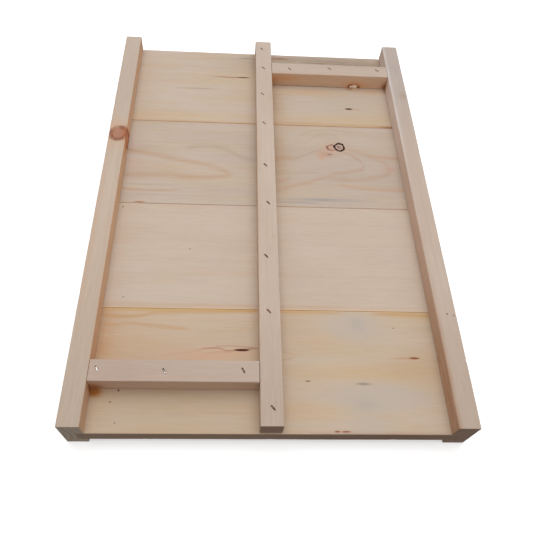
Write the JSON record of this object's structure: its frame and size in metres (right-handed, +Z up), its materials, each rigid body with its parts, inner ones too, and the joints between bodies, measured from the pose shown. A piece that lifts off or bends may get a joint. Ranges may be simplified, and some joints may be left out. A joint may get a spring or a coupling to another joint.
{
  "type": "divided beehive floor",
  "caption": "Divided hive bottom board: grooved side rails hold shiplapped floor planks, and a divider with half-width cross battens makes separate halves with entrances at opposite ends.",
  "frame": {"origin": "on the ground, under the middle of the floor", "axes": "+X to the right, +Y along the rails from the near end to the far end, +Z up towards the hive body"},
  "size_m": [0.406, 0.58, 0.0505],
  "materials": {
    "rail_pine": "planed, unfinished",
    "plank_pine": "planed, unfinished",
    "batten_pine": "planed, unfinished",
    "staple_wire": "bright wire"
  },
  "bodies": {
    "root": {"rail_left": "rail_pine", "rail_right": "rail_pine", "floor_plank_1": "plank_pine", "floor_plank_2": "plank_pine", "floor_plank_3": "plank_pine", "floor_plank_4": "plank_pine", "divider_batten": "batten_pine", "near_cross_batten": "batten_pine", "far_cross_batten": "batten_pine", "staple_divider_1": "staple_wire", "staple_divider_2": "staple_wire", "staple_divider_3": "staple_wire", "staple_divider_4": "staple_wire", "staple_divider_5": "staple_wire", "staple_divider_6": "staple_wire", "staple_divider_7": "staple_wire", "staple_divider_8": "staple_wire", "staple_divider_9": "staple_wire", "staple_near_batten_1": "staple_wire", "staple_near_batten_2": "staple_wire", "staple_near_batten_3": "staple_wire", "staple_far_batten_1": "staple_wire", "staple_far_batten_2": "staple_wire", "staple_far_batten_3": "staple_wire", "staple_rail_left_1": "staple_wire", "staple_rail_left_2": "staple_wire", "staple_rail_left_3": "staple_wire", "staple_rail_left_4": "staple_wire", "staple_rail_left_5": "staple_wire", "staple_rail_left_6": "staple_wire", "staple_rail_left_7": "staple_wire", "staple_rail_left_8": "staple_wire", "staple_rail_right_1": "staple_wire", "staple_rail_right_2": "staple_wire", "staple_rail_right_3": "staple_wire", "staple_rail_right_4": "staple_wire", "staple_rail_right_5": "staple_wire", "staple_rail_right_6": "staple_wire", "staple_rail_right_7": "staple_wire", "staple_rail_right_8": "staple_wire"}
  },
  "joints": []
}
